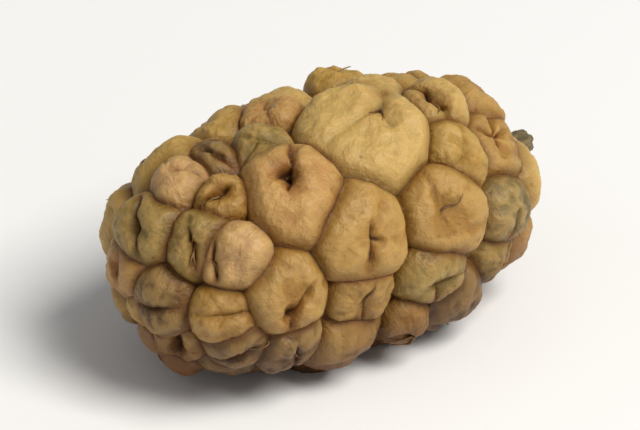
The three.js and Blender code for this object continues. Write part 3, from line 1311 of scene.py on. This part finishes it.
def speck_group():
    group, given, output = new_tree(
        "Drying specks", "ShaderNodeTree",
        {"Place": "NodeSocketVector", "Size": 0.2, "Amount": 0.3},
        {"Mask": "NodeSocketFloat"},
    )
    where = given["Place"] / given["Size"]
    cells = add_node(group, "ShaderNodeTexVoronoi", {"Vector": where, "Scale": 1.0})
    dot = smooth_step(Value(cells.outputs["Distance"]), *DOT_EDGE)
    picker = add_node(group, "ShaderNodeSeparateColor", {"Color": Value(cells.outputs["Color"])})
    least = 1.0 - given["Amount"]
    picked = smooth_step(Value(picker.outputs["Red"]), least, least + PICK_SOFTNESS)
    feed(output.inputs["Mask"], dot * picked)
    return group


def wrinkle_group():
    group, given, output = new_tree(
        "Dried wrinkles", "ShaderNodeTree",
        {"Place": "NodeSocketVector", "Size": 0.3, "Sharpness": 2.0},
        {"Height": "NodeSocketFloat"},
    )
    bent = add_node(
        group, "ShaderNodeTexNoise",
        {"Vector": given["Place"] / given["Size"], "Scale": 1.0, "Detail": 3.0, "Distortion": 0.4},
    )
    ridge = worked("ABSOLUTE", Value(bent.outputs[0]) * 2.0 - 1.0)
    feed(output.inputs["Height"], worked("POWER", 1.0 - ridge, given["Sharpness"]))
    return group


def use_group(tree, group, inputs, output):
    """Places a shader group in a material with this material's own values."""
    return Value(add_node(tree, "ShaderNodeGroup", inputs, node_tree=group).outputs[output])


def new_material(name, **constants):
    """A material with a Principled shader, and the shader's plain values set on it."""
    material = bpy.data.materials.new(name)
    material.use_nodes = True
    shader = material.node_tree.nodes["Principled BSDF"]
    for label, value in constants.items():
        shader.inputs[label.replace("_", " ")].default_value = value
    return material, material.node_tree, shader


def bumped(tree, height, distance, strength):
    settings = {"Height": height, "Distance": distance, "Strength": strength}
    return Value(add_node(tree, "ShaderNodeBump", settings).outputs["Normal"])


SPECKS = speck_group()
WRINKLES = wrinkle_group()
print("specks:", len(SPECKS.nodes), "nodes, wrinkles:", len(WRINKLES.nodes), "nodes")

# %% [markdown]
# The dried skin. A dried white mulberry is waxy and a little translucent: light sinks in and
# comes out warmer. Its sugar blooms in pale patches and its juice dries brown in the folds.
# Painted shade turns the flanks olive and darkens the folds and the lower side, and a painted
# highlight makes the crests paler. A painted texture could show that from one side, but this
# skin has to hold from every side and at any size, so its colour is worked out from what the
# mesh knows: each drupelet's own colour, how deep a place lies, how near the next fold is. On
# that ground the layers are laid one over another.

# %% What the skin's finish reads
CARRIED_MASKS = ("from_fold", "hollow", "relief", "slit_mask", "apex_stain")
# Each noise has its shift, the size of its lumps in mm, its detail and its roughness
SKIN_NOISES = {
    "broad": ((0.0, 0.0, 0.0), 2.6, 2.0, 0.5),
    "warm": ((11.0, 5.0, 3.0), 2.2, 3.0, 0.6),
    "blotch": ((40.0, 0.0, 0.0), 0.9, 3.0, 0.6),
    "grain": ((0.0, 30.0, 0.0), 0.2, 3.0, 0.65),
}


def skin_readings(tree):
    """The numbers that the skin carries, and noises that take no notice of the drupelets."""
    place = object_place(tree)
    at = {name: attribute_value(tree, name) for name in CARRIED_MASKS}
    at["place"] = place
    at["fold_place"] = attribute_value(tree, "fold_place", "Vector")
    for name, (shift, size, detail, roughness) in SKIN_NOISES.items():
        at[name] = noise(place + shift, size, detail, roughness)
    return at


def tinted(colour, tint, amount, value, start, full, blend="MIX"):
    """Lays a tint over a colour, from none at the start value to the amount at the full one."""
    return mixed(smooth_step(value, start, full) * amount, colour, tint, blend)


DRIED_SKIN, skin_tree, skin_shader = new_material(
    "dried_skin", IOR=1.45, Subsurface_Weight=0.45, Subsurface_Scale=0.0008,
    Subsurface_Radius=(1.0, 0.5, 0.2),
)
at = skin_readings(skin_tree)
print("the finish reads", ", ".join(at))

# %% Patches
# PALE_CREST is the sugar bloom in pale patches, and on crests partly a painted highlight.
PALE_CREST = rgba(201, 168, 102)
GREY_BLOOM = rgba(142, 116, 79)
HONEY = rgba(162, 107, 38)


def patchy(colour, at):
    """Sugar and bloom lie in broad pale and grey patches, and the flesh shines through warmer."""
    colour = tinted(colour, PALE_CREST, 0.3, at["broad"], 0.0, 0.7)
    colour = tinted(colour, GREY_BLOOM, 0.4, at["broad"], -0.1, -0.7)
    colour = tinted(colour, HONEY, 0.5, at["warm"], 0.1, 0.7)
    return tinted(colour, HONEY, 0.45, at["blotch"], 0.1, 0.6)


skin_colour = patchy(attribute_value(skin_tree, "drupelet_colour", "Color"), at)
print("with its patches the finish has", len(skin_tree.nodes), "nodes")

# %% Crests and flanks, with painted highlight and shade
# SHADE_OLIVE is painted shade on the flanks.
SHADE_OLIVE = rgba(120, 86, 26)
# FOLD_BROWN is the brown of dried juice, specks and grain, and also painted shade in folds and
# wrinkles.
FOLD_BROWN = rgba(120, 69, 13)


def worn_lit_and_shaded(colour, at):
    """Crests paler from wear and painted highlight, flanks and wrinkles darker from painted shade.
    """
    blotch, grain = at["blotch"], at["grain"]
    # Crests above their surroundings go paler: partly wear, partly painted highlight.
    colour = tinted(colour, PALE_CREST, 0.4, at["hollow"] + grain * 0.01, -0.01, -0.09)
    # Painted shade: flanks near a fold turn olive.
    colour = tinted(colour, SHADE_OLIVE, 0.45, at["from_fold"] + blotch * 0.25, 0.9, 0.1)
    # Painted shade: the bottoms of wrinkles turn brown.
    colour = tinted(colour, FOLD_BROWN, 0.3, at["relief"] + grain * 0.4, 0.1, -0.6)
    return tinted(colour, FOLD_BROWN, 0.3, grain + blotch * 0.3, 0.15, 0.8)


skin_colour = worn_lit_and_shaded(skin_colour, at)
print("with crests and flanks it has", len(skin_tree.nodes), "nodes")

# %% Juice, dust and painted shade
# DEEP_BROWN is painted shade with dust in slits, hollows and fold lines, and the stalk's specks.
DEEP_BROWN = rgba(58, 27, 3)


def stained_and_shaded(colour, at):
    """Juice stains the crown's middle; folds and slits darken as juice, dust and painted shade."""
    blotch, grain, from_fold = at["blotch"], at["grain"], at["from_fold"]
    juice = at["apex_stain"] * (0.7 + blotch * 0.8 + grain * 0.3)
    colour = tinted(colour, FOLD_BROWN, 0.75, juice, 0.1, 0.9)
    # Near the folds the brown is partly dried juice and partly painted shade.
    soaked_and_shaded = 0.35 + smooth_step(at["broad"] + blotch, -0.6, 0.6) * 0.5
    ragged_fold = from_fold + grain * 0.06 + blotch * 0.05
    colour = tinted(colour, FOLD_BROWN, soaked_and_shaded, ragged_fold, 0.26, 0.03)
    # The slits darken as dried juice and as painted shade.
    in_slit = at["slit_mask"] + grain * 0.12
    colour = tinted(colour, FOLD_BROWN, 0.7, in_slit, 0.25, 0.6)
    colour = tinted(colour, DEEP_BROWN, 0.8, in_slit, 0.5, 0.85)
    # Painted shade: places deep below their surroundings go dark brown.
    colour = tinted(colour, DEEP_BROWN, 0.85, at["hollow"], 0.05, 0.26)
    # A thin dark line along each fold: dust and painted shade.
    grime_and_shade = 0.3 + smooth_step(at["warm"] + at["broad"] * 0.5, -0.5, 0.5) * 0.5
    return tinted(colour, DEEP_BROWN, grime_and_shade, from_fold, 0.08, 0.0)


skin_colour = stained_and_shaded(skin_colour, at)
print("with juice and dust it has", len(skin_tree.nodes), "nodes")

# %% Specks, and painted shade low down
BOTTOM_SHADE = rgba(136, 97, 54)
SHADE_TOP, SHADE_FULL = 4.6, 0.4


def specked_and_shaded_below(colour, at):
    """Small dark specks, and painted shade that darkens the flesh towards the bottom."""
    speck_place = at["place"] + at["fold_place"] * 0.3
    sizes = {"Place": speck_place, "Size": 0.3, "Amount": 0.08}
    colour = mixed(use_group(colour.tree, SPECKS, sizes, "Mask") * 0.55, colour, FOLD_BROWN)
    # Painted shade: the lower a place lies, the darker its flesh.
    height = parts_of(at["place"])[2] + at["broad"]
    return tinted(colour, BOTTOM_SHADE, 0.9, height, SHADE_TOP, SHADE_FULL, "MULTIPLY")


feed(skin_shader.inputs["Base Color"], specked_and_shaded_below(skin_colour, at))
print("with its specks it has", len(skin_tree.nodes), "nodes")

# %% The skin's sheen and fine relief
SHEEN_ROUGHNESS, DULL_ROUGHNESS = 0.44, 0.2
RELIEF_DEPTH = 0.0001
RELIEF_STRENGTH = 0.55
# Wrinkles too fine for the mesh: what each reads, its size, its sharpness and its share
FINE_WRINKLES = (
    ("fold_place", 0.15, 2.0, 0.4),
    ("place", 0.2, 2.0, 0.3),
    ("place", 0.55, 4.0, 0.6),
)


def finely_wrinkled(tree, at):
    """Some of these wrinkles run to the crown, and some lie any way."""
    height = 0.0
    for where, size, sharpness, share in FINE_WRINKLES:
        inputs = {"Place": at[where], "Size": size, "Sharpness": sharpness}
        height = use_group(tree, WRINKLES, inputs, "Height") * share + height
    return bumped(tree, height, RELIEF_DEPTH, RELIEF_STRENGTH)


dullness = smooth_step(at["blotch"], -0.5, 0.7) * DULL_ROUGHNESS
feed(skin_shader.inputs["Roughness"], SHEEN_ROUGHNESS + dullness)
feed(skin_shader.inputs["Normal"], finely_wrinkled(skin_tree, at))
print("the whole finish has", len(skin_tree.nodes), "nodes")

# %% [markdown]
# From drawing units to the scene. A finished mesh is scaled to metres in its own corners, so its
# object stays at the origin, unturned and unscaled.

# %% The fruit, dressed
def finished(name, mesh, material):
    """Turns a mesh in millimetres into a piece of the scene."""
    mesh.transform(Matrix.Scale(MM, 4))
    mesh.materials.clear()
    mesh.materials.append(material)
    mesh.shade_smooth()
    mesh.update()
    return placed(name, mesh)


fruit_piece = finished("drupelets", fruit_skin, DRIED_SKIN)
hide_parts("fruit")
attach(fruit_piece, "root")
print("fruit, mm", (np.array(fruit_piece.dimensions) / MM).round(2))

# %% [markdown]
# The styles' finish. They are dead, dry threads in two browns, dull and a little rough, with no
# light going through. They are so thin that a patchy tone along them is all that can be seen.

# %% The styles, dressed
THREAD_DARK = rgba(78, 48, 22)
THREAD_PALE = rgba(148, 112, 62)
TONE_SIZE = 0.5
FUZZ_SIZE, FUZZ_DEPTH, FUZZ_STRENGTH = 0.08, 0.00003, 0.6


def thread_material():
    material, tree, shader = new_material("dried_thread", IOR=1.45)
    place = object_place(tree)
    tone = noise(place, TONE_SIZE, 3.0, 0.6)
    colour = mixed(smooth_step(tone, -0.5, 0.5), THREAD_DARK, THREAD_PALE)
    feed(shader.inputs["Base Color"], colour)
    feed(shader.inputs["Roughness"], 0.6 + tone * 0.1)
    fuzz = noise(place, FUZZ_SIZE, 2.0)
    feed(shader.inputs["Normal"], bumped(tree, fuzz, FUZZ_DEPTH, FUZZ_STRENGTH))
    return material


thread_piece = finished("dried_styles", thread_mesh, thread_material())
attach(thread_piece, "root")
print("styles, mm", (np.array(thread_piece.dimensions) / MM).round(2))

# %% [markdown]
# The stalk. The fruit was snapped off with a stub of its stalk, which has dried woody: its skin
# fell in between the fibres that run along it, and the break is splintered. It is a sweep along
# the bend that the solid has, and each ring of corners has its own radius, so it is done in a few
# lines of Python rather than in nodes. Every corner also remembers where it is on the stalk when
# that is thought straight, because a grain on Object coordinates would cut across the bend.

# %% The stalk's line and sizes
STALK_RADIUS = 0.5
STALK_LENGTH = 4.9
STALK_SIDES = 84
STALK_RINGS = 90
ROOT_SHARE, ROOT_SWELL = 0.3, 0.5
TIP_SHARE, TIP_SWELL = 0.15, 0.12
RIBS = 7
RIB_DEPTH = 0.2
RIB_TWIST = 1.1
FINE_RIBS = 31
FINE_RIB_DEPTH = 0.018
SPLINTER_SHARE = 0.07
SPLINTER_LENGTH = 0.16
# A fibre's own length, what it takes from the fibre beside it, and from its bundle of six
OWN_SHARE, NEXT_SHARE, BUNDLE_SHARE = 0.5, 0.3, 0.6
BUNDLE = 6
BREAK_RINGS = (0.93, 0.84, 0.72, 0.58, 0.42, 0.26, 0.12)
BREAK_DEPTH = 0.14
BREAK_ROUGHNESS = 0.05
STALK_SEED = 5
rough = random.Random(STALK_SEED)


def through(points, share):
    """A smooth curve through the points, a Catmull-Rom spline, at a share of its length."""
    spans = len(points) - 1
    span = min(int(share * spans), spans - 1)
    t = share * spans - span
    before, start, end, after = (
        np.array(points[min(max(span + step, 0), spans)], dtype=float) for step in (-1, 0, 1, 2)
    )
    return 0.5 * (
        2 * start
        + (end - before) * t
        + (2 * before - 5 * start + 4 * end - after) * t * t
        + (3 * start - before - 3 * end + after) * t ** 3
    )


def past(share, start):
    """0 up to the start and from there evenly up to 1."""
    return max(0.0, (share - start) / (1 - start))


def stalk_radius(share, turn):
    """Rounded ribs with sharp grooves between them, on a stub that flares at both ends.

    The slow waves make some ribs deeper than others and let them sway, so that none are alike.
    """
    root = past(1 - share, 1 - ROOT_SHARE)
    tip = past(share, 1 - TIP_SHARE)
    swell = 1 + ROOT_SWELL * root + TIP_SWELL * tip
    uneven = 0.75 + 0.3 * math.cos(turn + 1) + 0.2 * math.cos(2 * turn + 5 * share)
    groove = 1 - abs(math.cos(RIBS * turn / 2 + RIB_TWIST * share + 0.3 * math.sin(7 * share)))
    fine = FINE_RIB_DEPTH * math.cos(FINE_RIBS * turn + 4 * math.sin(9 * share))
    return STALK_RADIUS * 0.95 * swell * (1 - RIB_DEPTH * uneven * groove + fine)


half_way = [round(stalk_radius(0.5, turn), 2) for turn in (0, 1.5, 3, 4.5)]
print("stalk radius half way, mm", half_way)

# %% The rings of the stalk
def splinter_lengths():
    """One length for each fibre at the break, neighbours a little alike."""
    raw = [rough.uniform(-1, 1) for _ in range(STALK_SIDES)]
    return [
        raw[k] * OWN_SHARE + raw[k - 1] * NEXT_SHARE + raw[k // BUNDLE * BUNDLE] * BUNDLE_SHARE
        for k in range(STALK_SIDES)
    ]


def ring_corners(share, shrink, splinters):
    """One ring round the stalk's line, and the straightened place of each of its corners."""
    middle = through(STALK_BEND, share) + SHIFT
    forward = unit(through(STALK_BEND, min(1, share + 0.01)) - through(STALK_BEND, share - 0.01))
    side = unit(np.cross(forward, [0, 0, 1]))
    up = np.cross(side, forward)
    inwards = 1 - shrink
    corners, straight = [], []
    for k in range(STALK_SIDES):
        turn = 2 * math.pi * k / STALK_SIDES
        radius = stalk_radius(share, turn) * shrink
        torn = splinters[k] * SPLINTER_LENGTH * shrink * past(share, 1 - SPLINTER_SHARE)
        sunk = inwards * BREAK_DEPTH + (rough.uniform(-1, 1) * BREAK_ROUGHNESS if inwards else 0)
        across, upwards = radius * math.cos(turn), radius * math.sin(turn)
        corners.append(middle + side * across + up * upwards + forward * (torn - sunk))
        straight.append((across, upwards, share * STALK_LENGTH))
    return corners, straight


def stalk_mesh():
    splinters = splinter_lengths()
    rings = [(k / STALK_RINGS, 1.0) for k in range(STALK_RINGS + 1)]
    rings += [(1.0, shrink) for shrink in BREAK_RINGS]
    corners, straight, broken = [], [], []
    for share, shrink in rings:
        ring, ring_straight = ring_corners(share, shrink, splinters)
        corners += ring
        straight += ring_straight
        broken += [1.0 if shrink < 1 else 0.0] * STALK_SIDES
    faces = []
    for start in range(0, len(corners) - STALK_SIDES, STALK_SIDES):
        for k in range(STALK_SIDES):
            here, after = start + k, start + (k + 1) % STALK_SIDES
            faces.append((here, after, after + STALK_SIDES, here + STALK_SIDES))
    faces.append(tuple(range(STALK_SIDES - 1, -1, -1)))
    faces.append(tuple(range(len(corners) - STALK_SIDES, len(corners))))
    mesh = bpy.data.meshes.new("stalk_stub")
    mesh.from_pydata(corners, [], faces)
    keep_column(mesh, "straight", straight, "FLOAT_VECTOR")
    keep_column(mesh, "broken", broken)
    return mesh


snapped_stalk = stalk_mesh()
print("stalk:", len(snapped_stalk.polygons), "faces")

# %% Dry, fibrous wood
BARK_DARK = rgba(84, 70, 40)
BARK_PALE = rgba(146, 126, 80)
BARK_OLIVE = rgba(112, 104, 60)
FIBRE_PALE = rgba(186, 160, 104)
GRAIN_STRETCH = 0.1
GRAIN_SIZE, PATCH_SIZE, FIBRE_END_SIZE = 0.11, 1.1, 0.07
GRAIN_DEPTH, GRAIN_STRENGTH = 0.00006, 0.8


def stalk_colour(tree, place, straight, grain):
    """Streaky bark with olive patches and dark specks, and pale fibres at the break."""
    colour = mixed(smooth_step(grain, -0.5, 0.6), BARK_DARK, BARK_PALE)
    patch = smooth_step(noise(place, PATCH_SIZE, 2.0), -0.1, 0.6) * 0.5
    colour = mixed(patch, colour, BARK_OLIVE)
    ends = smooth_step(noise(straight, FIBRE_END_SIZE, 2.0), -0.4, 0.5)
    colour = mixed(attribute_value(tree, "broken") * ends, colour, FIBRE_PALE)
    specks = use_group(tree, SPECKS, {"Place": place, "Size": 0.2, "Amount": 0.25}, "Mask")
    return mixed(specks * 0.6, colour, DEEP_BROWN)


def stalk_material():
    material, tree, shader = new_material("dry_stalk", IOR=1.45)
    straight = attribute_value(tree, "straight", "Vector") * (1.0, 1.0, GRAIN_STRETCH)
    grain = noise(straight, GRAIN_SIZE, 3.0, 0.6)
    feed(shader.inputs["Base Color"], stalk_colour(tree, object_place(tree), straight, grain))
    feed(shader.inputs["Roughness"], 0.7 + grain * 0.1)
    sizes = {"Place": straight, "Size": 0.07, "Sharpness": 3.0}
    fibres = use_group(tree, WRINKLES, sizes, "Height")
    feed(shader.inputs["Normal"], bumped(tree, fibres, GRAIN_DEPTH, GRAIN_STRENGTH))
    return material


stalk_piece = finished("stalk_stub", snapped_stalk, stalk_material())
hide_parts("stalk")
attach(stalk_piece, "root")
print("stalk, mm", (np.array(stalk_piece.dimensions) / MM).round(2))

# %% [markdown]
# The floor, the light and the camera. A plain pale floor takes the soft shadow. A large lamp
# from the upper right is the key, as in the photograph, where right-hand crowns are lit and
# left-hand undersides are dark, and a bright, even world fills the rest. The camera has the
# photograph's viewing angle and stands closer, with a long lens, so that one fruit fills the
# frame without the bulge of a near view.

# %% The floor
FLOOR_SIZE = 1.2
FLOOR_WHITE = (0.9, 0.9, 0.9, 1.0)

floor_shape = bmesh.new()
bmesh.ops.create_grid(floor_shape, x_segments=1, y_segments=1, size=FLOOR_SIZE / 2)
floor_mesh = bpy.data.meshes.new("floor")
floor_shape.to_mesh(floor_mesh)
floor_shape.free()
pale_floor, _, _ = new_material("pale_floor", Roughness=0.85, Base_Color=FLOOR_WHITE)
floor_mesh.materials.append(pale_floor)
floor = placed("floor", floor_mesh)
print("floor:", FLOOR_SIZE, "m wide")

# %% The light
FRAMED_POINT = Vector((-0.0012, 0.0, 0.0048))
WORLD_STRENGTH = 0.27


def back_of(azimuth, elevation):
    """The way from the fruit to an onlooker at these angles, in degrees."""
    azimuth, elevation = math.radians(azimuth), math.radians(elevation)
    return Vector((
        math.sin(azimuth) * math.cos(elevation),
        -math.cos(azimuth) * math.cos(elevation),
        math.sin(elevation),
    ))


def aimed(name, data, azimuth, elevation, distance):
    """A lamp or camera that looks at the framed point."""
    thing = placed(name, data)
    thing.location = FRAMED_POINT + back_of(azimuth, elevation) * distance
    thing.rotation_euler = (FRAMED_POINT - thing.location).to_track_quat("-Z", "Y").to_euler()
    return thing


def soft_lamp(name, size, power, screen_rgb, **stand):
    data = bpy.data.lights.new(name, "AREA")
    data.size = size
    data.energy = power
    data.color = scene_colour(screen_rgb)
    return aimed(name, data, **stand)


lamps = [
    soft_lamp("key_lamp", 0.26, 2.7, (255, 252, 246), azimuth=24, elevation=54, distance=0.5),
    soft_lamp("fill_lamp", 0.4, 0.1, (240, 246, 255), azimuth=-110, elevation=35, distance=0.6),
]
world = bpy.data.worlds.new("studio")
world.use_nodes = True
background = world.node_tree.nodes["Background"]
background.inputs["Color"].default_value = (1, 1, 1, 1)
background.inputs["Strength"].default_value = WORLD_STRENGTH
bpy.context.scene.world = world
bpy.context.scene.view_settings.view_transform = "Standard"
print(len(lamps), "lamps of", [round(lamp.data.energy, 2) for lamp in lamps], "watts")

# %% The camera
VIEW = {"azimuth": -36, "elevation": 32, "distance": 0.30}
LENS = 450
NEAREST, FARTHEST = 0.005, 10

camera_data = bpy.data.cameras.new("camera")
camera_data.lens = LENS
camera_data.clip_start = NEAREST
camera_data.clip_end = FARTHEST
camera = aimed("camera", camera_data, **VIEW)
bpy.context.scene.camera = camera
print("camera at, mm", [round(v / MM) for v in camera.location])
